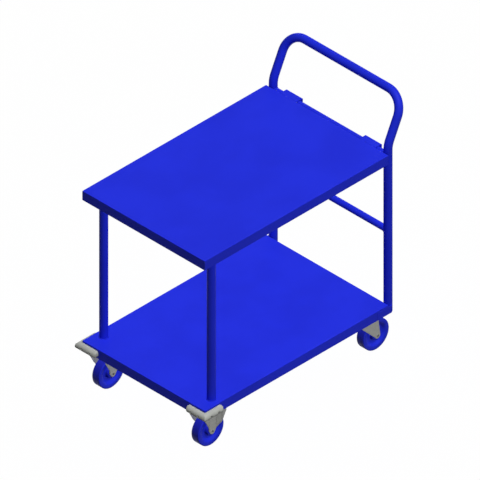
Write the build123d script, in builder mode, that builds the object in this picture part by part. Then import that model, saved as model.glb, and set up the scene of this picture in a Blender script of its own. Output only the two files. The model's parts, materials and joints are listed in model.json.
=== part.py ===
from build123d import *
import math
import os

# A two-deck shelf cart: folded sheet decks, a bent-tube handle frame behind, two posts in front,
# fixed casters in front and swivel casters under the handle. Millimetres, X forward (away from the
# handle), Y to the left, Z up. The origin is on the floor, under the middle of the cart's box.

# Decks: trays of folded sheet with their skirts down
deck_length = 900.0
deck_width = 600.0
deck_height = 39.0
deck_sheet = 1.5
deck_bend = 1.6  # outside radius of the folds
deck_seam = 0.6  # gap where two skirts meet at a corner
deck_spacing = 635.0  # from deck top to deck top

# Stiffener: a hat section under the middle of each deck
stiffener_width = 80.0
stiffener_mouth = 50.0
stiffener_crown = 36.0
stiffener_depth = 25.0
stiffener_sheet = 1.5
stiffener_end_gap = 2.0  # to the side skirts

# Caster channels: across the lower deck, down to its skirts' lower edges
channel_width = 110.0
channel_sheet = 2.5

# Handle frame: uprights and push bar in one bent tube, and two cross tubes
tube_diameter = 32.0
tube_wall = 2.0
bar_setback = 95.0  # push bar's axis behind the decks
bar_height = 192.0  # push bar's axis above the upper deck
lean_height = 26.0  # where the uprights start to lean, above the upper deck
lean_bend = 90.0  # axis radius
corner_bend = 76.0  # axis radius
cross_diameter = 25.0
lower_cross_drop = 333.0  # axis below the upper deck's top
weld_gap = 0.1  # left for the weld beside round tubes
end_plug_length = 15.0  # plugs in the uprights' lower ends

# Foot plates: join the uprights to the lower deck, flush with its side skirts
foot_sheet = 3.0
foot_length = 55.0  # along the deck, from its rear edge
foot_drop = 8.0  # below the deck's top
foot_gap = 1.5  # around the plate in the skirt's notch

# Hook plates: on the upper deck's rear skirt, over the upper cross tube
hook_sheet = 3.0
hook_bend = 5.0
hook_width = 77.0
hook_drop = 2.0  # below the deck's top
hook_inset = 68.0  # from the deck's side
hook_leg = 30.0
hook_lip = 16.0
hook_clearance = 0.3  # above the cross tube
hook_play = 4.0  # behind the cross tube

# Front posts
post_diameter = 32.0
post_wall = 1.5
post_setback = 68.5  # axis behind the decks' front edge
post_inset = 36.5  # axis from the decks' sides
spigot_length = 30.0
spigot_sides = 6
fit_clearance = 0.05  # radial, in every close fit

# Corner bumpers: moulded bars around the lower deck's front corners
bumper_thickness = 19.5
bumper_height = 22.0
bumper_drop = 7.0  # below the deck's top
bumper_leg = 78.5  # from the deck's corner
bumper_flat = 2.0  # flat top of the section, which rounds down from there to the outer face
bumper_inner_round = 1.5  # of its upper edge beside the deck
bumper_corner = 5.0  # in plan, at the corner
bumper_end = 11.0  # in plan, at the legs' ends
bumper_gap = 0.2  # to the skirts

# Casters
wheel_diameter = 125.0
wheel_width = 34.0
hub_diameter = 27.0
hub_width = 41.0
dish_rim = 101.0  # across the dish at the wheel's face
dish_root = 74.0  # across its deepest line, where the hub starts to rise
dish_depth = 10.0
dish_facets = 24
axle_diameter = 12.0
caster_height = 158.0  # floor to the top of the caster plates
caster_inset = 57.0  # wheel's middle from the deck's side
plate_length = 105.0
plate_width = 85.0
plate_sheet = 3.0
fork_width = 50.4
fork_sheet = 3.0

# Fixed front casters: each leg is a flat strip with a wing folded outwards and a flange on either side
front_axle_setback = 70.5  # behind the decks' front edge
fixed_tip = 12.8
fixed_strip = 34.0
fixed_shoulder = 20.0  # below the plate, where the legs start to taper
wing_angle = 45.0
wing_rise = 15.0  # from the strip out to the flanges

# Swivel rear casters: the wheel trails behind the kingpin
swivel_setback = 61.5  # kingpin's axis ahead of the decks' rear edge
trail = 41.0
swivel_tip = 12.0
swivel_strip = 20.6  # from the axle forward to the fold
swivel_reach = 42.0  # of the fork's top ahead of the kingpin
swivel_shoulder = 16.0  # below the fork's top, where the front edge starts to slant
swivel_flare = 8.0  # degrees, of the legs ahead of the fold
swivel_bend = 4.0  # outside radius of the fold between legs and bridge
bridge_sheet = 3.5
head_height = 8.0  # from the plate down to the fork
race_diameter = 62.0
running_gap = 0.4  # between turning faces
kingpin_diameter = 12.0
kingpin_nut = 19.0  # across flats
nut_height = 5.0
nut_sides = 6

# Places that follow from the sizes
tube_radius = tube_diameter / 2
bumper_reach = bumper_gap + bumper_thickness
front_edge = (deck_length + bar_setback + tube_radius - bumper_reach) / 2
rear_edge = front_edge - deck_length
deck_middle = (front_edge + rear_edge) / 2
deck_side = deck_width / 2
lower_top = caster_height + deck_height
upper_top = lower_top + deck_spacing
upright_x = rear_edge - tube_radius - weld_gap
upright_y = deck_side - foot_sheet - weld_gap - tube_radius
hook_reach = rear_edge - upright_x + cross_diameter / 2 + hook_play + hook_sheet
hook_top = upper_top - hook_drop
upper_cross_z = hook_top - hook_sheet - hook_clearance - cross_diameter / 2
lower_cross_z = upper_top - lower_cross_drop
post_x = front_edge - post_setback
post_y = deck_side - post_inset
wheel_y = deck_side - caster_inset
axle_height = wheel_diameter / 2
front_axle_x = front_edge - front_axle_setback
swivel_x = rear_edge + swivel_setback
rear_axle_x = swivel_x - trail
plate_bottom = caster_height - plate_sheet
fork_top = plate_bottom - head_height
sides = {"left": 1, "right": -1}

os.makedirs("parts", exist_ok=True)


def save(piece, name):
    """Label a finished piece and write it to its own file."""
    piece.part.label = name
    export_step(piece.part, f"parts/{name}.step")


def along_plane(x, y, z):
    """Upright plane seen from the cart's right side: first axis forward, second axis up."""
    return Plane((x, y, z), x_dir=(1, 0, 0), z_dir=(0, -1, 0))


def across_plane(x, y, z):
    """Upright plane seen from the front: first axis to the left, second axis up."""
    return Plane((x, y, z), x_dir=(0, 1, 0), z_dir=(1, 0, 0))


def bent_strip(plane, points, bend, sheet):
    """Section of sheet folded with a bend radius. It lies to the right of the line along one face."""
    with BuildSketch(plane) as section:
        with BuildLine():
            FilletPolyline(*points, radius=bend)
            offset(amount=sheet, side=Side.RIGHT)
        make_face()
    return section.sketch


def creased_strip(plane, points, sheet):
    """Section of sheet folded sharply. It lies to the right of the line along one face."""
    with BuildSketch(plane) as section:
        with BuildLine():
            Polyline(*points)
            offset(amount=sheet, side=Side.RIGHT, kind=Kind.INTERSECTION)
        make_face()
    return section.sketch


def deck_section(plane, span):
    """Section of a deck from one skirt over the top to the other, with its folds rounded outside."""
    half = span / 2
    with BuildSketch(plane) as section:
        with BuildLine():
            Polyline((-half, -deck_height), (-half, 0), (half, 0), (half, -deck_height))
            offset(amount=deck_sheet, side=Side.RIGHT, kind=Kind.INTERSECTION)
        make_face()
        fillet(section.vertices().group_by(Axis.Y)[-1], deck_bend)
    return section.sketch


def folded_deck(top):
    """Tray with four folded skirts. The front and rear skirts run past the sides to close the corners."""
    flap_height = deck_height - deck_bend
    flap_z = top - deck_height + flap_height / 2
    end_x = (deck_length - deck_sheet) / 2
    side_y = deck_side - deck_sheet / 2
    with BuildPart() as deck:
        lengthwise = deck_section(along_plane(deck_middle, 0, top), deck_length)
        extrude(lengthwise, amount=deck_side - deck_bend, both=True)
        crosswise = deck_section(across_plane(deck_middle, 0, top), deck_width)
        extrude(crosswise, amount=deck_length / 2 - deck_bend, both=True)
        with Locations((deck_middle + end_x, 0, flap_z), (deck_middle - end_x, 0, flap_z)):
            Box(deck_sheet, deck_width, flap_height)
        with Locations((deck_middle, side_y, flap_z), (deck_middle, -side_y, flap_z)):
            Box(deck_length - 2 * (deck_sheet + deck_seam), deck_sheet, flap_height)
    return deck.part


# Decks, the lower one notched at the rear corners for the foot plates
notch_length = foot_length + foot_gap
notch_depth = foot_sheet + foot_gap
notch_height = deck_height - foot_drop + foot_gap
with BuildPart() as lower_deck:
    add(folded_deck(lower_top))
    with Locations((rear_edge, deck_side, caster_height), (rear_edge, -deck_side, caster_height)):
        Box(2 * notch_length, 2 * notch_depth, 2 * notch_height, mode=Mode.SUBTRACT)
save(lower_deck, "lower_deck")

with BuildPart() as upper_deck:
    add(folded_deck(upper_top))
save(upper_deck, "upper_deck")

# Stiffeners, spot-welded to the decks by their flanges
hat = [
    (-stiffener_width / 2, 0),
    (-stiffener_mouth / 2, 0),
    (-stiffener_crown / 2, -stiffener_depth),
    (stiffener_crown / 2, -stiffener_depth),
    (stiffener_mouth / 2, 0),
    (stiffener_width / 2, 0),
]
for level, top in (("lower", lower_top), ("upper", upper_top)):
    with BuildPart() as stiffener:
        section = creased_strip(along_plane(deck_middle, 0, top - deck_sheet), hat, stiffener_sheet)
        extrude(section, amount=deck_side - deck_sheet - stiffener_end_gap, both=True)
    save(stiffener, f"{level}_deck_stiffener")

# Caster channels, welded between the side skirts, open towards the deck
channel_depth = deck_height - deck_sheet
channel_half = channel_width / 2
trough = [
    (channel_half, channel_depth),
    (channel_half, 0),
    (-channel_half, 0),
    (-channel_half, channel_depth),
]
for end, channel_x in (("front", front_axle_x), ("rear", swivel_x)):
    with BuildPart() as channel:
        section = creased_strip(along_plane(channel_x, 0, caster_height), trough, channel_sheet)
        extrude(section, amount=deck_side - foot_sheet - weld_gap, both=True)
    save(channel, f"{end}_caster_channel")

# Handle tube: up one upright, across the push bar and down the other. The uprights are bored up to
# where they start to lean.
lean_z = upper_top + lean_height
bar_x = rear_edge - bar_setback
bar_z = upper_top + bar_height
lean_angle = math.atan2(bar_setback + rear_edge - upright_x, bar_z - lean_z)
upright_length = lean_z - lean_bend * math.tan(lean_angle / 2) - caster_height
tube_bore = tube_radius - tube_wall
upright_points = [(upright_x, upright_y), (upright_x, -upright_y)]
with BuildPart() as handle_tube:
    with BuildLine():
        handle_axis = FilletPolyline(
            (upright_x, upright_y, caster_height),
            (upright_x, upright_y, lean_z),
            (bar_x, upright_y, bar_z),
            (bar_x, -upright_y, bar_z),
            (upright_x, -upright_y, lean_z),
            (upright_x, -upright_y, caster_height),
            radius=[lean_bend, corner_bend, corner_bend, lean_bend],
        )
    with BuildSketch(Plane(handle_axis @ 0, z_dir=handle_axis % 0)):
        Circle(tube_radius)
    sweep()
    with BuildSketch(Plane.XY.offset(caster_height)):
        with Locations(*upright_points):
            Circle(tube_bore)
    extrude(amount=upright_length, mode=Mode.SUBTRACT)
save(handle_tube, "handle_tube")

# Plugs in the open lower ends of the uprights
with BuildPart() as end_plugs:
    with BuildSketch(Plane.XY.offset(caster_height)):
        with Locations(*upright_points):
            Circle(tube_bore - fit_clearance)
    extrude(amount=end_plug_length)
save(end_plugs, "handle_end_plugs")

# Cross tubes, their ends shaped to the uprights, which close them
for level, cross_z in (("upper", upper_cross_z), ("lower", lower_cross_z)):
    with BuildPart() as cross_tube:
        with BuildSketch(along_plane(upright_x, 0, cross_z)):
            Circle(cross_diameter / 2)
        extrude(amount=upright_y, both=True)
        with Locations((upright_x, upright_y, cross_z), (upright_x, -upright_y, cross_z)):
            Cylinder(tube_radius + weld_gap, 2 * cross_diameter, mode=Mode.SUBTRACT)
    save(cross_tube, f"{level}_cross_tube")

# Foot plates and hook plates
hook = [(-hook_reach, -hook_lip), (-hook_reach, 0), (0, 0), (0, -hook_leg)]
for hand, sign in sides.items():
    with BuildPart() as foot:
        with BuildSketch(along_plane(upright_x, sign * (deck_side - foot_sheet / 2), caster_height)):
            Rectangle(
                foot_length + rear_edge - upright_x,
                deck_height - foot_drop,
                align=(Align.MIN, Align.MIN),
            )
        extrude(amount=foot_sheet / 2, both=True)
    save(foot, f"handle_foot_{hand}")

    hook_y = sign * (deck_side - hook_inset - hook_width / 2)
    with BuildPart() as hook_plate:
        section = bent_strip(along_plane(rear_edge, hook_y, hook_top), hook, hook_bend, hook_sheet)
        extrude(section, amount=hook_width / 2, both=True)
    save(hook_plate, f"deck_hook_{hand}")

# Front posts, welded to the lower deck. Hexagon spigots under the upper deck stand in their open tops.
post_bore = post_diameter / 2 - post_wall
for hand, sign in sides.items():
    with BuildPart() as post:
        with BuildSketch(Plane((post_x, sign * post_y, lower_top))):
            Circle(post_diameter / 2)
            Circle(post_bore, mode=Mode.SUBTRACT)
        extrude(amount=deck_spacing - deck_sheet)
    save(post, f"front_post_{hand}")

with BuildPart() as post_spigots:
    with BuildSketch(Plane.XY.offset(upper_top - deck_sheet)):
        with Locations((post_x, post_y), (post_x, -post_y)):
            RegularPolygon(post_bore - fit_clearance, spigot_sides)
    extrude(amount=-spigot_length)
save(post_spigots, "post_spigots")

# Corner bumpers: a rounded bar folded around each front corner, its plan rounded at corner and ends
bumper_z = lower_top - bumper_drop
leg_x = front_edge - bumper_leg
leg_y = deck_side - bumper_leg
corner_x = front_edge + bumper_gap
corner_y = deck_side + bumper_gap
outer_x = front_edge + bumper_reach
outer_y = deck_side + bumper_reach
bumper_round = bumper_thickness - bumper_inner_round - bumper_flat
with BuildPart() as bumper:
    with BuildLine():
        Polyline((leg_x, corner_y, bumper_z), (corner_x, corner_y, bumper_z), (corner_x, leg_y, bumper_z))
    with BuildSketch(across_plane(leg_x, corner_y, bumper_z)) as bar:
        Rectangle(bumper_thickness, bumper_height, align=(Align.MIN, Align.MAX))
        fillet(bar.vertices().group_by(Axis.Y)[-1].sort_by(Axis.X)[-1], bumper_round)
        fillet(bar.vertices().group_by(Axis.Y)[-1].sort_by(Axis.X)[0], bumper_inner_round)
    sweep(transition=Transition.RIGHT)
    with BuildSketch(Plane.XY.offset(bumper_z)) as plan:
        with BuildLine():
            Polyline(
                (leg_x, corner_y),
                (corner_x, corner_y),
                (corner_x, leg_y),
                (outer_x, leg_y),
                (outer_x, outer_y),
                (leg_x, outer_y),
                close=True,
            )
        make_face()
        fillet(plan.vertices().group_by(Axis.X)[-1].sort_by(Axis.Y)[-1], bumper_corner)
        fillet(plan.vertices().group_by(Axis.X)[-1].sort_by(Axis.Y)[0], bumper_end)
        fillet(plan.vertices().group_by(Axis.Y)[-1].sort_by(Axis.X)[0], bumper_end)
    extrude(amount=-bumper_height, mode=Mode.INTERSECT)
save(bumper, "corner_bumper_left")

with BuildPart() as right_bumper:
    mirror(bumper.part, about=Plane.XZ)
save(right_bumper, "corner_bumper_right")

# Fixed casters: a fork with its plate and axle. Its legs taper down to the axle.
strip_x = fixed_strip / 2
strip_y = fork_width / 2
wing_x = strip_x + wing_rise / math.tan(math.radians(wing_angle))
wing_y = strip_y + wing_rise
flange_x = plate_length / 2
for hand, sign in sides.items():
    fork_y = sign * wheel_y
    with BuildPart() as fork:
        with BuildSketch(Plane((front_axle_x, fork_y, 0))):
            with BuildLine():
                Polyline(
                    (-flange_x, wing_y),
                    (-wing_x, wing_y),
                    (-strip_x, strip_y),
                    (strip_x, strip_y),
                    (wing_x, wing_y),
                    (flange_x, wing_y),
                )
                offset(amount=fork_sheet, side=Side.RIGHT, kind=Kind.INTERSECTION)
            make_face()
            mirror(about=Plane.XZ)
        extrude(amount=plate_bottom)
        with BuildSketch(along_plane(front_axle_x, fork_y, 0)):
            with Locations((0, axle_height)):
                Circle(fixed_tip)
            with Locations((0, plate_bottom)):
                Rectangle(plate_length, fixed_shoulder, align=(Align.CENTER, Align.MAX))
            make_hull()
        extrude(amount=wing_y, both=True, mode=Mode.INTERSECT)
        with BuildSketch(along_plane(front_axle_x, fork_y, axle_height)):
            Circle(axle_diameter / 2)
        extrude(amount=fork_width / 2, both=True)
        with Locations((front_axle_x, fork_y, plate_bottom)):
            Box(plate_length, plate_width, plate_sheet, align=(Align.CENTER, Align.CENTER, Align.MIN))
    save(fork, f"front_fork_{hand}")

# Swivel casters: a pressed fork with its axle, a bridge under the swivel head and two trailing legs
fold_x = swivel_strip - trail


def swivel_plan(plane, half_width):
    """Plan of a swivel fork between its legs' faces, which open towards the front."""
    flare_y = (swivel_reach - fold_x) * math.tan(math.radians(swivel_flare))
    with BuildSketch(plane) as plan:
        with BuildLine():
            Polyline(
                (swivel_reach, 0),
                (swivel_reach, half_width + flare_y),
                (fold_x, half_width),
                (-trail - swivel_tip, half_width),
                (-trail - swivel_tip, 0),
            )
            mirror(about=Plane.XZ)
        make_face()
    return plan.sketch


for hand, sign in sides.items():
    fork_y = sign * wheel_y
    floor_plane = Plane((swivel_x, fork_y, 0))
    with BuildPart() as fork:
        extrude(swivel_plan(floor_plane, fork_width / 2), amount=fork_top)
        shoulders = fork.edges().group_by(Axis.Z)[-1].filter_by(Axis.Y, reverse=True)
        fillet(shoulders, swivel_bend)
        inside = swivel_plan(floor_plane, fork_width / 2 - fork_sheet)
        extrude(inside, amount=fork_top - bridge_sheet, mode=Mode.SUBTRACT)
        with BuildSketch(along_plane(swivel_x, fork_y, 0)):
            with Locations((-trail, axle_height)):
                Circle(swivel_tip)
            with Locations((-trail, fork_top)):
                Rectangle(trail + swivel_reach, swivel_shoulder, align=(Align.MIN, Align.MAX))
            make_hull()
        extrude(amount=fork_width, both=True, mode=Mode.INTERSECT)
        with BuildSketch(along_plane(rear_axle_x, fork_y, axle_height)):
            Circle(axle_diameter / 2)
        extrude(amount=fork_width / 2, both=True)
        with Locations((swivel_x, fork_y, fork_top)):
            Hole(kingpin_diameter / 2 + fit_clearance, depth=bridge_sheet)
    save(fork, f"rear_fork_{hand}")

# Swivel heads: plate, race and the kingpin with the nut that carries the fork
swivel_points = [(swivel_x, wheel_y), (swivel_x, -wheel_y)]
kingpin_end = fork_top - bridge_sheet - running_gap
with BuildPart() as swivel_heads:
    with BuildSketch(Plane.XY.offset(plate_bottom)):
        with Locations(*swivel_points):
            Rectangle(plate_length, plate_width)
    extrude(amount=plate_sheet)
    with BuildSketch(Plane.XY.offset(plate_bottom)):
        with Locations(*swivel_points):
            Circle(race_diameter / 2)
    extrude(amount=running_gap - head_height)
    with BuildSketch(Plane.XY.offset(plate_bottom)):
        with Locations(*swivel_points):
            Circle(kingpin_diameter / 2)
    extrude(amount=kingpin_end - plate_bottom)
    with BuildSketch(Plane.XY.offset(kingpin_end)):
        with Locations(*swivel_points):
            RegularPolygon(kingpin_nut / 2, nut_sides, major_radius=False)
    extrude(amount=-nut_height)
save(swivel_heads, "swivel_heads")

# Wheels, moulded in one piece, that turn on the axles. Each side has a dish of flat facets that falls
# from the rim to its root and rises again to the hub.
face_y = wheel_width / 2
root_y = face_y - dish_depth
end_y = hub_width / 2
rim_r = dish_rim / 2
root_r = dish_root / 2
hub_r = hub_diameter / 2


def faceted(section):
    """Solid about the Y axis with flat facets, left where the section is turned in steps."""
    step = 360 / dish_facets
    with BuildPart() as solid:
        Box(wheel_diameter, wheel_diameter, wheel_diameter)
        for turn in range(dish_facets // 2):
            with BuildSketch(Plane.XY.rotated((0, turn * step, 0))):
                Polygon(*section, align=None)
            extrude(amount=wheel_diameter, both=True, mode=Mode.INTERSECT)
    return solid.part


hollow = faceted([(-rim_r, face_y), (-root_r, root_y), (root_r, root_y), (rim_r, face_y)])
hub = faceted(
    [
        (-hub_r, end_y),
        (-root_r, root_y),
        (-root_r, -root_y),
        (-hub_r, -end_y),
        (hub_r, -end_y),
        (root_r, -root_y),
        (root_r, root_y),
        (hub_r, end_y),
    ]
)
with BuildPart() as wheel_form:
    with BuildSketch(Plane.XZ):
        Circle(wheel_diameter / 2)
    extrude(amount=face_y, both=True)
    add(hollow, mode=Mode.SUBTRACT)
    mirror(hollow, about=Plane.XZ, mode=Mode.SUBTRACT)
    add(hub)
    with BuildSketch(Plane.XZ):
        Circle(axle_diameter / 2 + fit_clearance)
    extrude(amount=end_y, both=True, mode=Mode.SUBTRACT)

axle_places = {
    "front_left": (front_axle_x, wheel_y),
    "front_right": (front_axle_x, -wheel_y),
    "rear_left": (rear_axle_x, wheel_y),
    "rear_right": (rear_axle_x, -wheel_y),
}
for place, (axle_x, axle_y) in axle_places.items():
    with BuildPart() as wheel:
        with Locations((axle_x, axle_y, axle_height)):
            add(wheel_form.part)
    save(wheel, f"{place}_wheel")
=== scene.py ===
import json
import math

import bmesh
import bpy
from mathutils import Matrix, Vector


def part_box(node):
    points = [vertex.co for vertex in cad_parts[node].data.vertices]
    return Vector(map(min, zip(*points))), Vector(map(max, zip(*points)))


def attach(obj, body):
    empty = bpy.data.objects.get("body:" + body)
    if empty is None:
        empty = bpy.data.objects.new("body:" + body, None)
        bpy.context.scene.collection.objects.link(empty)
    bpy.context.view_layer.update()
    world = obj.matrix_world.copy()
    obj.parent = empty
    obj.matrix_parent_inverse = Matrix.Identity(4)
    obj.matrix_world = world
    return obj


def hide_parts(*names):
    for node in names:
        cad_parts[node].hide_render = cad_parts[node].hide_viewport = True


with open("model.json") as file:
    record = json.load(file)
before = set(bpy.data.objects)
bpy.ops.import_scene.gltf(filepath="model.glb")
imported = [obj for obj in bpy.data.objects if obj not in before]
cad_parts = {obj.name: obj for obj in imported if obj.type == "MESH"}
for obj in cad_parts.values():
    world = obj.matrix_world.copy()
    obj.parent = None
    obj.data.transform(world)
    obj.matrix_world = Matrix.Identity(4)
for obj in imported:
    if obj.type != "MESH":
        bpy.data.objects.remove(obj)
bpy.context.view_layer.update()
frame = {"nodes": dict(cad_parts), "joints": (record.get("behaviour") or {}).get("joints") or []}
nodes = frame["nodes"]

# Decks. Two trays of steel sheet with their skirts folded down and a fine seam at each corner.
# They are powder-coated blue after welding: an orange-peel skin with faint scuffs from boxes.


class Tone:
    """A socket in a finish's nodes. Sums and products of tones add their Math nodes."""

    def __init__(self, tree, socket=None):
        self.tree = tree
        self.socket = socket

    def feed(self, target, sockets):
        for name, value in sockets.items():
            if isinstance(value, Tone):
                self.tree.links.new(value.socket, target.inputs[name])
            else:
                target.inputs[name].default_value = value

    def node(self, kind, settings, sockets, out=0):
        made = self.tree.nodes.new("ShaderNode" + kind)
        for name, value in settings.items():
            setattr(made, name, value)
        self.feed(made, sockets)
        return Tone(self.tree, made.outputs[out])

    def math(self, operation, first, second):
        return self.node("Math", {"operation": operation}, {0: first, 1: second})

    def __add__(self, other):
        return self.math("ADD", self, other)

    def __sub__(self, other):
        return self.math("SUBTRACT", self, other)

    def __rsub__(self, other):
        return self.math("SUBTRACT", other, self)

    def __mul__(self, other):
        return self.math("MULTIPLY", self, other)

    __radd__ = __add__
    __rmul__ = __mul__

    def between(self, low, high):
        """0 below low, 1 above high, and a smooth rise from one to the other."""
        settings = {"interpolation_type": "SMOOTHSTEP"}
        return self.node("MapRange", settings, {"Value": self, "From Min": low, "From Max": high})

    def mix(self, first, second):
        """The first colour where this tone is 0, the second where it is 1."""
        return self.node("Mix", {"data_type": "RGBA"}, {0: self, 6: first, 7: second}, 2)

    def stretched(self, across):
        """This position, stretched by a factor along each axis."""
        return self.node("VectorMath", {"operation": "MULTIPLY"}, {0: self, 1: across})

    def noise(self, scale, detail=2.0):
        return self.node("TexNoise", {}, {"Vector": self, "Scale": scale, "Detail": detail})

    def bump(self, strength, depth, normal=None):
        sockets = {"Strength": strength, "Distance": depth, "Height": self}
        if normal:
            sockets["Normal"] = normal
        return self.node("Bump", {}, sockets)


def finish(name, **constants):
    """A new material, its shader, and the position on the piece as its first tone."""
    material = bpy.data.materials.new(name)
    material.use_nodes = True
    shader = material.node_tree.nodes["Principled BSDF"]
    for socket, value in constants.items():
        shader.inputs[socket.replace("_", " ")].default_value = value
    place = Tone(material.node_tree).node("TexCoord", {}, {}, "Object")
    return material, shader, place


def edge_rounding(place, radius):
    """The rounded normal of an edge, and how far the surface has turned there, from 0 on the flat."""
    rounded = place.node("Bevel", {"samples": 6}, {"Radius": radius})
    true = place.node("NewGeometry", {}, {}, "True Normal")
    facing = place.node("VectorMath", {"operation": "DOT_PRODUCT"}, {0: rounded, 1: true}, "Value")
    return rounded, 1 - facing


def crevice_shade(place, depth, low, high, own=False):
    """A mask of occlusion that falls to 0 in corners and gaps, or only in those of the piece's own
    shape; the finishes paint shade into their colour with it.
    """
    settings = {"samples": 8, "only_local": own}
    return place.node("AmbientOcclusion", settings, {"Distance": depth}, "AO").between(low, high)


def dress(material, *names):
    """Give CAD nodes a finish."""
    for name in names:
        mesh = nodes[name].data
        mesh.materials.clear()
        mesh.materials.append(material)


blue_coat, shader, place = finish("blue_powder_coat", Specular_IOR_Level=0.08)
peel = place.noise(620.0, 3.0)
drift = place.noise(5.0, 3.0)
scuffs = place.stretched((9.0, 160.0, 160.0)).noise(3.0, 4.0).between(0.62, 0.74)
scuffs = scuffs * place.noise(4.0).between(0.5, 0.7)
rounded, turned = edge_rounding(place, 0.0007)
# Edges are painted lighter blue in patches: partly thin, chipped paint, partly a painted highlight
# along the edges.
edge_chips_and_highlight = turned.between(0.02, 0.2) * place.noise(90.0, 4.0).between(0.48, 0.66)
coat_colour = drift.between(0.3, 0.7).mix((0.0145, 0.0265, 0.67, 1.0), (0.0165, 0.0305, 0.73, 1.0))
coat_colour = (scuffs * 0.16).mix(coat_colour, (0.06, 0.08, 0.74, 1.0))
coat_colour = (edge_chips_and_highlight * 0.3).mix(coat_colour, (0.05, 0.07, 0.70, 1.0))
# Painted shade: the coat is darkened in corners and gaps between parts, where shade falls.
coat_colour = crevice_shade(place, 0.006, 0.35, 0.85).mix((0.008, 0.015, 0.36, 1.0), coat_colour)
place.feed(shader, {
    "Base Color": coat_colour,
    "Roughness": 0.44 + drift * 0.1 + scuffs * 0.14,
    "Normal": peel.bump(0.16, 0.0003, rounded),
})
dress(blue_coat, "lower_deck", "upper_deck")

# Stiffeners and caster channels. A hat section under the middle of each deck, and a channel across
# the lower deck above each pair of casters, folded from sheet, spot-welded and coated with the deck.
dress(blue_coat, "lower_deck_stiffener", "upper_deck_stiffener")
dress(blue_coat, "front_caster_channel", "rear_caster_channel")

# Handle frame. One steel tube bent into both uprights and the push bar, with two cross tubes
# coped and welded between the uprights. The weld beads show through the coat as rippled rings.
sharp_angle = math.radians(38)
ripple = 0.14
bead_sides = 8
askew = Vector((0.37, 0.51, 0.78))  # along no bead, so its cross product gives each a side
tube_radius = 0.016
cross_bead = 0.0017
cross_bead_steps = 72


def piece(name, body, material, build):
    """A mesh piece in the cart's frame that rides on a body, shaded smooth up to its sharp edges."""
    mesh = bpy.data.meshes.new(name)
    shape = bmesh.new()
    build(shape)
    bmesh.ops.recalc_face_normals(shape, faces=shape.faces)
    for face in shape.faces:
        face.smooth = True
    shape.to_mesh(mesh)
    shape.free()
    mesh.set_sharp_from_angle(angle=sharp_angle)
    mesh.materials.append(material)
    made = bpy.data.objects.new(name, mesh)
    bpy.context.scene.collection.objects.link(made)
    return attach(made, body)


def skin(shape, rings, closed, capped):
    """Faces between rings of points, each ring round a section of the piece."""
    rows = [[shape.verts.new(point) for point in ring] for ring in rings]
    for first, second in zip(rows, rows[1:] + rows[:1] if closed else rows[1:]):
        for i in range(len(first)):
            j = (i + 1) % len(first)
            shape.faces.new((first[i], first[j], second[j], second[i]))
    if capped:
        shape.faces.new(rows[0])
        shape.faces.new(rows[-1])


def circle(centre, radius, side, out, steps):
    """Points round a centre, in the plane of two directions."""
    turns = [k * math.tau / steps for k in range(steps)]
    return [centre + radius * (math.cos(t) * side + math.sin(t) * out) for t in turns]


def bead(shape, path, thickness, closed):
    """A weld bead along a path: a thin rope with the ripples of the torch."""
    rings = []
    for i, point in enumerate(path):
        ahead = path[(i + 1) % len(path)] if closed or i + 1 < len(path) else point
        behind = path[i - 1] if closed or i else point
        along = (Vector(ahead) - Vector(behind)).normalized()
        side = along.cross(askew).normalized()
        size = thickness * (1 + ripple * math.cos(math.pi * i))
        rings.append(circle(Vector(point), size, side, along.cross(side), bead_sides))
    skin(shape, rings, closed, not closed)


upright_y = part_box("handle_tube")[1].y - tube_radius
plugs_low, plugs_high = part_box("handle_end_plugs")
upright_x = (plugs_low.x + plugs_high.x) / 2


def cross_tube_beads(shape):
    for name in ("upper_cross_tube", "lower_cross_tube"):
        low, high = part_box(name)
        level = (low.z + high.z) / 2
        cross_radius = (high.z - low.z) / 2
        for side in (1, -1):
            path = []
            for k in range(cross_bead_steps):
                turn = k * math.tau / cross_bead_steps
                across = cross_radius * math.cos(turn)
                reach = math.sqrt(tube_radius**2 - across**2)
                up = level + cross_radius * math.sin(turn)
                path.append((upright_x + across, side * (upright_y - reach), up))
            bead(shape, path, cross_bead, True)


dress(blue_coat, "handle_tube", "upper_cross_tube", "lower_cross_tube")
piece("cross_tube_welds", "frame", blue_coat, cross_tube_beads)

# End plugs. Black plastic plugs, moulded to fit the tube's bore and pushed into the open lower ends
# of the uprights.
plug_plastic, shader, place = finish("black_plug_plastic", Specular_IOR_Level=0.35)
grain = place.noise(900.0, 2.0)
plug_tone = place.noise(60.0).mix((0.012, 0.012, 0.013, 1.0), (0.022, 0.022, 0.024, 1.0))
place.feed(shader, {
    "Base Color": plug_tone,
    "Roughness": 0.5 + grain * 0.2,
    "Normal": grain.bump(0.25, 0.0002),
})
dress(plug_plastic, "handle_end_plugs")

# Foot plates and hook plates. Flat plates join the uprights to the lower deck, and folded hooks on
# the upper deck's rear skirt hang over the upper cross tube. Both are welded along their edges.
foot_bead = 0.0018
foot_bead_out = 0.0012  # from the plate's inner face
foot_bead_gap = 0.002  # at both ends of the seam
foot_bead_steps = 20
hook_bead = 0.0016
hook_bead_in = 0.0008  # from the plate's front face
hook_bead_gap = 0.006
hook_bead_steps = 40


def steps_between(start, end, count):
    """Evenly spaced values from start to end."""
    return [start + k * (end - start) / (count - 1) for k in range(count)]


def plate_beads(shape):
    for hand in ("left", "right"):
        low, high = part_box("handle_foot_" + hand)
        side = 1 if high.y > 0 else -1
        seam_y = side * (min(abs(low.y), abs(high.y)) + foot_bead_out)
        levels = steps_between(low.z + foot_bead_gap, high.z - foot_bead_gap, foot_bead_steps)
        bead(shape, [(low.x, seam_y, up) for up in levels], foot_bead, False)
        low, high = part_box("deck_hook_" + hand)
        places = steps_between(low.y + hook_bead_gap, high.y - hook_bead_gap, hook_bead_steps)
        bead(shape, [(high.x - hook_bead_in, y, low.z) for y in places], hook_bead, False)


dress(blue_coat, "handle_foot_left", "handle_foot_right", "deck_hook_left", "deck_hook_right")
piece("plate_welds", "frame", blue_coat, plate_beads)

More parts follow.
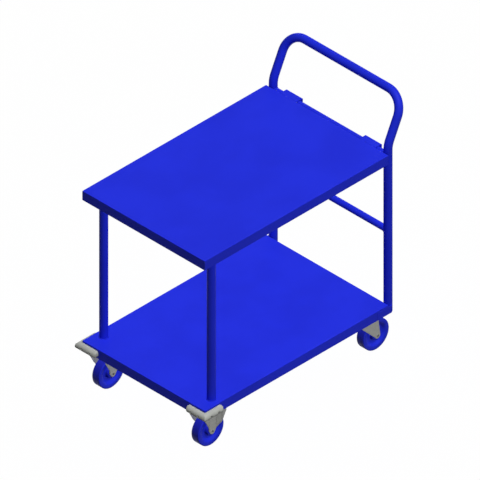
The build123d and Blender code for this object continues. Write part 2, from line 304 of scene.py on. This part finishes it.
# Front posts. Straight tubes welded to the lower deck; spigots under the upper deck stand in their
# tops. A weld bead runs round the foot of each.
post_bead = 0.0019
post_bead_steps = 96


def post_beads(shape):
    for hand in ("left", "right"):
        low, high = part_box("front_post_" + hand)
        foot = Vector(((low.x + high.x) / 2, (low.y + high.y) / 2, low.z))
        radius = (high.x - low.x) / 2
        path = circle(foot, radius, Vector((1, 0, 0)), Vector((0, 1, 0)), post_bead_steps)
        bead(shape, path, post_bead, True)


dress(blue_coat, "front_post_left", "front_post_right", "post_spigots")
piece("post_foot_welds", "frame", blue_coat, post_beads)

# Corner bumpers. Moulded light grey rubber bars round the lower deck's front corners, rounded all
# over, with two countersunk holes low down in each leg. A screw head sits deep in each hole.
bumper_rubber, shader, place = finish("grey_bumper_rubber", Specular_IOR_Level=0.25)
grain = place.noise(1100.0, 2.0)
cloud = place.noise(45.0, 4.0)
rounded, turned = edge_rounding(place, 0.002)
rubbed = turned.between(0.02, 0.2) * cloud.between(0.5, 0.62)
rubber_tone = cloud.between(0.35, 0.7).mix((0.42, 0.43, 0.40, 1.0), (0.465, 0.48, 0.445, 1.0))
rubber_tone = (rubbed * 0.25).mix(rubber_tone, (0.30, 0.30, 0.28, 1.0))
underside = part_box("corner_bumper_left")[0].z
# Painted shade: the bumper's colour darkens over its lowest few millimetres, where its bottom edge is
# in shade.
shade_band_from, shade_band_to = underside + 0.002, underside + 0.007
above_shade_band = place.node("SeparateXYZ", {}, {0: place}, "Z").between(shade_band_from, shade_band_to)
rubber_tone = (0.25 + above_shade_band * 0.75).mix((0.10, 0.10, 0.095, 1.0), rubber_tone)
# Painted shade: the rubber is darkened in its own hollows, deep in the screw holes.
rubber_tone = crevice_shade(place, 0.012, 0.2, 0.6, own=True).mix((0.05, 0.05, 0.047, 1.0), rubber_tone)
place.feed(shader, {
    "Base Color": rubber_tone,
    "Roughness": 0.62 + grain * 0.2,
    "Normal": grain.bump(0.22, 0.0003, rounded),
})
plated, shader, place = finish("plated_steel", Specular_IOR_Level=0.25, Metallic=0.04)
spangle = place.noise(170.0, 3.0)
rolled = place.stretched((60.0, 60.0, 900.0)).noise(2.0, 3.0)
rounded = edge_rounding(place, 0.002)[0]
slight_turn = edge_rounding(place, 0.006)[1]
sharp_edges = edge_rounding(place, 0.009)[1].between(0.06, 0.1)
# Painted shade: dark lines are painted along the gentle folds of the pressed sheet, not at its sharp
# edges.
fold_shade = slight_turn.between(0.003, 0.025) * (1 - sharp_edges)
steel_tone = spangle.between(0.35, 0.65).mix((0.41, 0.415, 0.39, 1.0), (0.455, 0.46, 0.435, 1.0))
steel_tone = (fold_shade * 0.9).mix(steel_tone, (0.06, 0.06, 0.058, 1.0))
# Painted shade: the steel is darkened in corners and gaps between parts, where shade falls.
steel_tone = crevice_shade(place, 0.01, 0.1, 0.5).mix((0.06, 0.06, 0.058, 1.0), steel_tone)
place.feed(shader, {
    "Base Color": steel_tone,
    "Roughness": 0.38 + spangle * 0.12 + rolled * 0.1,
    "Normal": rolled.bump(0.12, 0.0002, rounded),
})
bumper_thickness = 0.0195
bumper_gap = 0.0002  # to the deck's skirts
bumper_round = 0.016  # of the upper edge, outside
bumper_inner = 0.0015  # of the upper edge beside the deck
bumper_tail = 0.009  # of the upper edge at the legs' ends
bumper_under = 0.004  # of the lower edge
bumper_corner = 0.005  # in plan, at the corner
bumper_end = 0.011  # in plan, at the legs' ends
least_corner = 0.0005
least_end = 0.0015
screw_places = (0.0147, 0.052)  # along each leg, from the deck's corner
screw_rise = 0.0062
hole_start = 0.0085  # from the bumper's inner face
hole_length = 0.02
hole_profile = ((0, 0.003), (0.3, 0.003), (1, 0.0106))
head_start = 0.008
head_height = 0.0034
head_profile = ((0, 0.0025), (0.4, 0.0025), (0.8, 0.0018), (1, 0.0008))
head_sides = 20


def arc(middle, radius, start, end, steps):
    """Points of an arc in a plane, from one angle to another, in degrees."""
    turns = [math.radians(start + (end - start) * k / steps) for k in range(steps + 1)]
    return [(middle[0] + radius * math.cos(t), middle[1] + radius * math.sin(t)) for t in turns]


def bumper(shape, low, high, side):
    """An L-shaped bar: level lies on level, each drawn in as the section's edges round off."""
    outer_x = high.x
    outer_y = max(abs(low.y), abs(high.y))
    near_y = min(abs(low.y), abs(high.y))

    def outline(outside, inside, tail):
        """Plan of one level, drawn in outside, on the deck's side and at the legs' ends."""
        end = max(bumper_end - outside, least_end)
        corner = max(bumper_corner - outside, least_corner)
        edge_x, edge_y = outer_x - outside, outer_y - outside
        inner_x, inner_y = outer_x - bumper_thickness + inside, outer_y - bumper_thickness + inside
        tail_x, tail_y = low.x + tail, near_y + tail
        path = arc((tail_x + end, edge_y - end), end, 180, 90, 8)
        path += arc((edge_x - corner, edge_y - corner), corner, 90, 0, 6)
        path += arc((edge_x - end, tail_y + end), end, 0, -90, 8)
        return path + [(inner_x, tail_y), (inner_x, inner_y), (tail_x, inner_y)]

    def drawn_in(up, radius):
        """How far a rounded upper edge has come in at a height."""
        rise = max(up - high.z + radius, 0)
        return radius - math.sqrt(max(radius**2 - rise**2, 0))

    levels = []
    for inward, up in arc((bumper_under, low.z + bumper_under), bumper_under, 270, 180, 6):
        levels.append((up, outline(inward, 0, inward)))
    for _, up in arc((0, high.z - bumper_round), bumper_round, 0, 90, 12):
        radii = (bumper_round, bumper_inner, bumper_tail)
        levels.append((up, outline(*[drawn_in(up, radius) for radius in radii])))
    skin(shape, [[(x, side * y, z) for x, y in plan] for z, plan in levels], False, True)


def round_bar(shape, start, way, length, profile, sides=32):
    """A turned piece from start along way: the profile gives shares of the length, and radii."""
    start, way = Vector(start), Vector(way)
    side = way.orthogonal().normalized()
    out = way.cross(side)
    rings = [circle(start + way * length * share, r, side, out, sides) for share, r in profile]
    skin(shape, rings, False, True)


for hand in ("left", "right"):
    low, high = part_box("corner_bumper_" + hand)
    side = 1 if high.y > 0 else -1
    level = low.z + screw_rise
    bar = piece("bumper_" + hand, "frame", bumper_rubber, lambda shape: bumper(shape, low, high, side))
    face_x = high.x - bumper_thickness
    face_y = max(abs(low.y), abs(high.y)) - bumper_thickness
    holes = []
    for s in screw_places:
        holes.append((Vector((face_x - bumper_gap - s, side * face_y, level)), Vector((0, side, 0))))
        holes.append((Vector((face_x, side * (face_y - bumper_gap - s), level)), Vector((1, 0, 0))))

    def drills(shape):
        for foot, way in holes:
            round_bar(shape, foot + way * hole_start, way, hole_length, hole_profile)

    def screws(shape):
        for foot, way in holes:
            round_bar(shape, foot + way * head_start, way, head_height, head_profile, head_sides)

    drill = piece("drill_" + hand, "frame", bumper_rubber, drills)
    cut = bar.modifiers.new("screw_holes", "BOOLEAN")
    cut.object = drill
    cut.solver = "EXACT"
    bpy.context.view_layer.update()
    drilled = bpy.data.meshes.new_from_object(bar.evaluated_get(bpy.context.evaluated_depsgraph_get()))
    bar.modifiers.clear()
    bar.data = drilled
    drilled.set_sharp_from_angle(angle=sharp_angle)
    bpy.data.objects.remove(drill)
    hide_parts("corner_bumper_" + hand)
    piece("bumper_screws_" + hand, "frame", plated, screws)

# Caster forks and swivel heads. Pressed from sheet steel and plated a dull grey: fixed forks with
# wings and flanges in front, and swivel forks behind, each hung from a head with a kingpin.
dress(plated, "front_fork_left", "front_fork_right", "rear_fork_left", "rear_fork_right")
dress(plated, "swivel_heads")

# Plate bolts. Hexagon-head bolts with washers hold each caster plate to its channel, four to a
# plate, their heads below the plate.
plate_sheet = 0.003
bolt_along = 0.04
bolt_across = 0.028
bolt_flats = 0.013
bolt_height = 0.005
washer_height = 0.0016
washer_profile = ((0, 0.008), (1, 0.008))
chamfer_profile = ((0, 1), (0.8, 1), (1, 0.88))


def hexagon(shape, centre, way, flats, height):
    """A hexagon head with its top edge chamfered, standing on centre along way."""
    corner = flats / math.sqrt(3)
    profile = [(share, corner * size) for share, size in chamfer_profile]
    round_bar(shape, centre, way, height, profile, 6)


def plate_bolts(shape):
    down = Vector((0, 0, -1))
    plate_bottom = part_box("swivel_heads")[1].z - plate_sheet
    for joint in frame["joints"]:
        if joint["name"].startswith("front") or joint["name"].endswith("swivel_turn"):
            x, y = joint["pos_m"][:2]
            for along in (bolt_along, -bolt_along):
                for across in (bolt_across, -bolt_across):
                    spot = Vector((x + along, y + across, plate_bottom))
                    round_bar(shape, spot, down, washer_height, washer_profile)
                    hexagon(shape, spot + down * washer_height, down, bolt_flats, bolt_height)


piece("caster_plate_bolts", "frame", plated, plate_bolts)

# Axle ends. Each axle is a shouldered screw with a hexagon socket, whose head stands just proud of
# the fork's legs. The socket is not cut: its shade is painted as a thin near-black hexagon on the
# head's face.
# Painted shade: the near-black colour of the socket hexagons stands in for the shade in the recess.
painted_socket_shade, shader, place = finish("painted_socket_shade", Specular_IOR_Level=0.3)
oil = place.noise(400.0, 3.0)
socket_shade_tone = oil.mix((0.015, 0.018, 0.024, 1.0), (0.03, 0.034, 0.042, 1.0))
place.feed(shader, {"Base Color": socket_shade_tone, "Roughness": 0.35 + oil * 0.2})
axle_spots = {}
for joint in frame["joints"]:
    if joint["name"].endswith("wheel_spin"):
        axle_spots[joint["name"].removesuffix("_wheel_spin")] = Vector(joint["pos_m"])
fork_half = 0.0252
axle_head_sink = 0.0004  # below the leg's face
axle_head_height = 0.0012
axle_head_profile = ((0, 0.0062), (0.7, 0.0062), (1, 0.0056))
socket_lift = 0.0002
socket_flats = 0.008
socket_height = 0.00075
for caster, spot in axle_spots.items():
    body = "frame" if caster.startswith("front") else caster + "_swivel"

    def heads(shape):
        for way in (Vector((0, 1, 0)), Vector((0, -1, 0))):
            face = spot + way * (fork_half - axle_head_sink)
            round_bar(shape, face, way, axle_head_height, axle_head_profile)

    def sockets(shape):
        for way in (Vector((0, 1, 0)), Vector((0, -1, 0))):
            hexagon(shape, spot + way * (fork_half + socket_lift), way, socket_flats, socket_height)

    piece(caster + "_axle_heads", body, plated, heads)
    piece(caster + "_axle_sockets", body, painted_socket_shade, sockets)

# Wheels. Moulded in one piece from blue plastic: a tread, a flat ring and a dish with a flat web on
# each side, and a round hub in the middle, which runs on the axle. The tread is painted darker as
# shade.
wheel_plastic, shader, place = finish("blue_wheel_plastic", Specular_IOR_Level=0.1)
grain = place.noise(800.0, 2.0)
drift = place.noise(30.0, 3.0)
scuffs = place.stretched((90.0, 30.0, 90.0)).noise(4.0, 4.0).between(0.55, 0.75)
rounded = edge_rounding(place, 0.005)[0]
axial = place.node("SeparateXYZ", {}, {0: place.node("TexCoord", {}, {}, "Normal")}, "Y")
tread_shade = (1 - axial.math("ABSOLUTE", axial, 0)).between(0.45, 0.95)
wheel_tone = drift.between(0.3, 0.7).mix((0.0145, 0.0265, 0.66, 1.0), (0.0165, 0.0305, 0.72, 1.0))
wheel_tone = (scuffs * 0.12).mix(wheel_tone, (0.05, 0.06, 0.45, 1.0))
# Painted shade: the whole tread is painted darker all round, standing in for the shade it gets under
# the deck.
wheel_tone = tread_shade.mix(wheel_tone, (0.014, 0.02, 0.46, 1.0))
# Painted shade: the dish and hub are darkened in their own hollows.
wheel_tone = crevice_shade(place, 0.025, 0.2, 0.9, own=True).mix((0.006, 0.01, 0.26, 1.0), wheel_tone)
place.feed(shader, {
    "Base Color": wheel_tone,
    "Roughness": 0.42 + grain * 0.12 + scuffs * 0.12,
    "Normal": grain.bump(0.15, 0.0002, rounded),
})
wheel_radius = 0.0625
wheel_half = 0.017
wheel_steps = 96
tread_corner = 0.0015
ring_inner = 0.046
ring_edge = ((0, 0.0012), (0.0006, 0))  # down from the ring's face, out from its inner edge
dish_wall = 0.0078  # run of the dish's wall
web_half = 0.007
web_edge = ((0.0018, 0), (0.0005, 0.0016), (0, 0.0036))  # up from the web, in from the wall's foot
hub_foot = ((0, 0.0045), (0.0007, 0.0027), (0.0025, 0.002))  # up from the web, out from the hub
hub_radius = 0.0195
hub_half = 0.0205
hub_edge = ((0.001, 0), (0.0003, 0.0004), (0, 0.0012))  # down from the hub's face, in from its side
bore_radius = 0.00605


def wheel(shape, spot):
    """Half of the section, from the tread over ring and dish to the hub, mirrored and turned."""
    half = [(0.0, wheel_radius)]
    half += arc((wheel_half - tread_corner, wheel_radius - tread_corner), tread_corner, 90, 0, 4)
    half += [(wheel_half - down, ring_inner + out) for down, out in ring_edge]
    half += [(web_half + up, ring_inner - dish_wall - inward) for up, inward in web_edge]
    half += [(web_half + up, hub_radius + out) for up, out in hub_foot]
    half += [(hub_half - down, hub_radius - inward) for down, inward in hub_edge]
    half += [(hub_half, bore_radius)]
    loop = half + [(-along, r) for along, r in reversed(half[1:])]
    across, up = Vector((1, 0, 0)), Vector((0, 0, 1))
    rows = [circle(spot + Vector((0, along, 0)), r, across, up, wheel_steps) for along, r in loop]
    skin(shape, rows, True, False)


for caster, spot in axle_spots.items():
    moulded = piece(
        caster + "_wheel_body", caster + "_wheel", wheel_plastic, lambda shape: wheel(shape, spot)
    )
    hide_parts(caster + "_wheel")

# Studio. A pale floor that the camera sees as white with a trace of shadow, a white world, a sun
# above the cart's left side, a weak one behind it, and the camera at the photograph's angle.
floor_reach = 4
shadow_share = 0.12
mirror_share = 0.2
sky_fill = 0.06
sun_angle = math.radians(30)
suns = (("key", 3.0, (0.07, 0.43, 0.9)), ("fill", 1.3, (-0.7, -0.7, 0.14)))
pixels_per_metre = 288.8
picture_width = 480
camera_target = Vector((0.0237, 0.0005, 0.5374))
camera_distance = 5


def light_paths(tree):
    """A tone to start from, and whether a ray comes from the camera, a gloss or a clear piece."""
    start = Tone(tree)
    kinds = ("Is Camera Ray", "Is Glossy Ray", "Is Transmission Ray")
    return start, *[start.node("LightPath", {}, {}, kind) for kind in kinds]


floor_mesh = bpy.data.meshes.new("floor")
corners = [(x * floor_reach, y * floor_reach, 0) for x, y in ((-1, -1), (1, -1), (1, 1), (-1, 1))]
floor_mesh.from_pydata(corners, [], [(0, 1, 2, 3)])
floor = bpy.data.objects.new("floor", floor_mesh)
bpy.context.scene.collection.objects.link(floor)
floor_paint = bpy.data.materials.new("floor_paint")
floor_paint.use_nodes = True
tree = floor_paint.node_tree
tree.nodes.clear()
start, seen, mirrored, through = light_paths(tree)
bright = seen.math("MAXIMUM", seen, mirrored.math("MAXIMUM", mirrored, through))
grain = start.node("TexCoord", {}, {}, "Object").noise(3.0)
pale = start.node("BsdfDiffuse", {}, {"Color": grain.mix((0.97, 0.97, 0.97, 1), (1, 1, 1, 1))})
dim = start.node("BsdfDiffuse", {}, {"Color": (0.05, 0.05, 0.053, 1)})
white = start.node("Emission", {}, {"Color": (1, 1, 1, 1), "Strength": 1.0})
shown = start.node("MixShader", {}, {0: shadow_share, 1: white, 2: pale})
surface = start.node("MixShader", {}, {0: bright, 1: dim, 2: shown})
start.feed(tree.nodes.new("ShaderNodeOutputMaterial"), {"Surface": surface})
floor_mesh.materials.append(floor_paint)

world = bpy.data.worlds.new("studio")
bpy.context.scene.world = world
world.use_nodes = True
tree = world.node_tree
tree.nodes.clear()
start, seen, mirrored, through = light_paths(tree)
bright = seen.math("MAXIMUM", seen, through.math("MAXIMUM", through, mirrored * mirror_share))
strength = bright * (1 - sky_fill) + sky_fill
sky = start.node("Background", {}, {"Color": (1, 1, 1, 1), "Strength": strength})
start.feed(tree.nodes.new("ShaderNodeOutputWorld"), {"Surface": sky})

for name, energy, way in suns:
    sun = bpy.data.objects.new(name, bpy.data.lights.new(name, "SUN"))
    sun.data.energy = energy
    sun.data.angle = sun_angle
    sun.data.use_shadow = False
    sun.visible_glossy = name == "key"
    sun.rotation_euler = Vector(way).to_track_quat("Z", "Y").to_euler()
    bpy.context.scene.collection.objects.link(sun)

view = bpy.data.objects.new("camera", bpy.data.cameras.new("camera"))
view.data.type = "ORTHO"
view.data.ortho_scale = picture_width / pixels_per_metre
view.data.clip_end = 4 * camera_distance
towards = Vector((1, 1, 1)).normalized()
view.location = camera_target + towards * camera_distance
view.rotation_euler = towards.to_track_quat("Z", "Y").to_euler()
bpy.context.scene.collection.objects.link(view)
bpy.context.scene.camera = view
bpy.context.scene.view_settings.view_transform = "Standard"
